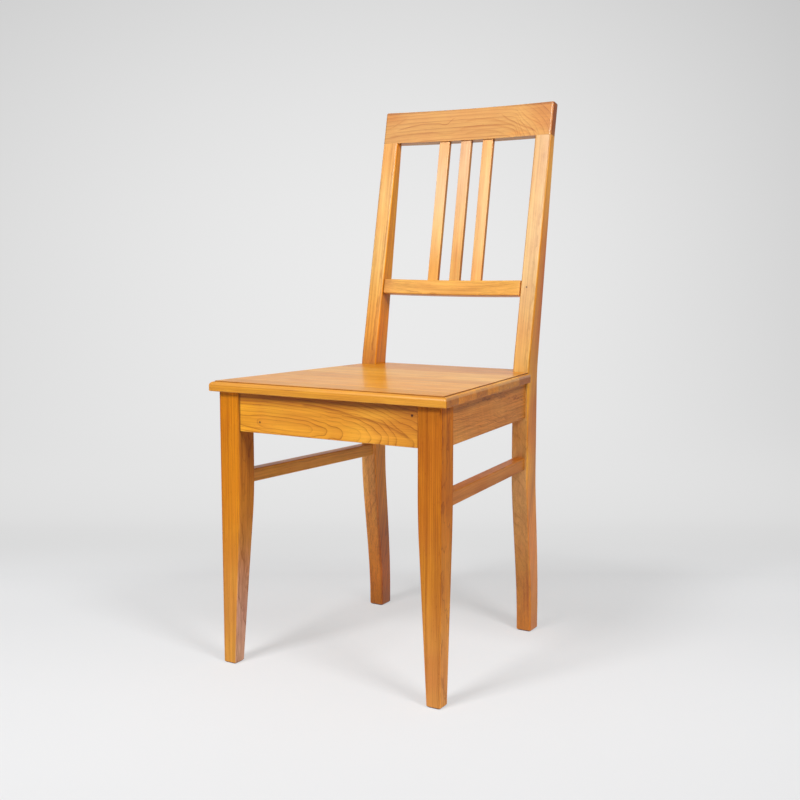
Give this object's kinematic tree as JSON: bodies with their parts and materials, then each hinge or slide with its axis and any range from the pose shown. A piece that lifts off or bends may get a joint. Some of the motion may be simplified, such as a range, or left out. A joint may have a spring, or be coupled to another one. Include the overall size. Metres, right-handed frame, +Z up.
{
  "type": "wooden chair",
  "caption": "Wooden side chair with tapered front legs, leaning slatted back with a bowed crest rail, moulded solid seat and side stretchers.",
  "frame": {"origin": "on the floor under the middle of the chair's outline, seen from above", "axes": "+Z up, +Y from the seat's front edge to the back, +X to the right of someone facing the chair"},
  "size_m": [0.4264, 0.4908, 0.9179],
  "materials": {
    "leg_wood": "satin clear lacquer on warm honey-brown wood, grain along the legs",
    "stile_wood": "satin clear lacquer on honey-coloured wood, grain along the stiles",
    "crest_wood": "satin clear lacquer on honey-coloured wood with arched grain",
    "back_rail_wood": "satin clear lacquer on honey-coloured wood",
    "slat_wood": "satin clear lacquer on light straight-grained wood",
    "seat_wood": "satin clear lacquer on glued-up staves, grain across the seat",
    "apron_wood": "satin clear lacquer on honey-coloured wood with oval grain rings",
    "stretcher_wood": "satin clear lacquer on brown wood",
    "hidden_wood": "plain sanded beech without lacquer",
    "screw_steel": "zinc-plated steel"
  },
  "bodies": {
    "root": {"back_apron_screw_left": "screw_steel", "back_apron_screw_right": "screw_steel", "back_corner_block_left": "hidden_wood", "back_corner_block_right": "hidden_wood", "back_leg_left": "stile_wood", "back_leg_right": "stile_wood", "back_rail": "back_rail_wood", "back_seat_screw_left": "screw_steel", "back_seat_screw_right": "screw_steel", "back_side_screw_left": "screw_steel", "back_side_screw_right": "screw_steel", "back_slat_left": "slat_wood", "back_slat_middle": "slat_wood", "back_slat_right": "slat_wood", "crest_dowel_1": "hidden_wood", "crest_dowel_2": "hidden_wood", "crest_dowel_3": "hidden_wood", "crest_dowel_4": "hidden_wood", "crest_rail": "crest_wood", "front_apron": "apron_wood", "front_apron_screw_left": "screw_steel", "front_apron_screw_right": "screw_steel", "front_corner_block_left": "hidden_wood", "front_corner_block_right": "hidden_wood", "front_leg_left": "leg_wood", "front_leg_right": "leg_wood", "front_seat_screw_left": "screw_steel", "front_seat_screw_right": "screw_steel", "front_side_screw_left": "screw_steel", "front_side_screw_right": "screw_steel", "rear_apron": "apron_wood", "seat_stave_1": "seat_wood", "seat_stave_2": "seat_wood", "seat_stave_3": "seat_wood", "seat_stave_4": "seat_wood", "seat_stave_5": "seat_wood", "seat_stave_6": "seat_wood", "side_apron_left": "apron_wood", "side_apron_right": "apron_wood", "side_stretcher_left": "stretcher_wood", "side_stretcher_right": "stretcher_wood"}
  },
  "joints": []
}
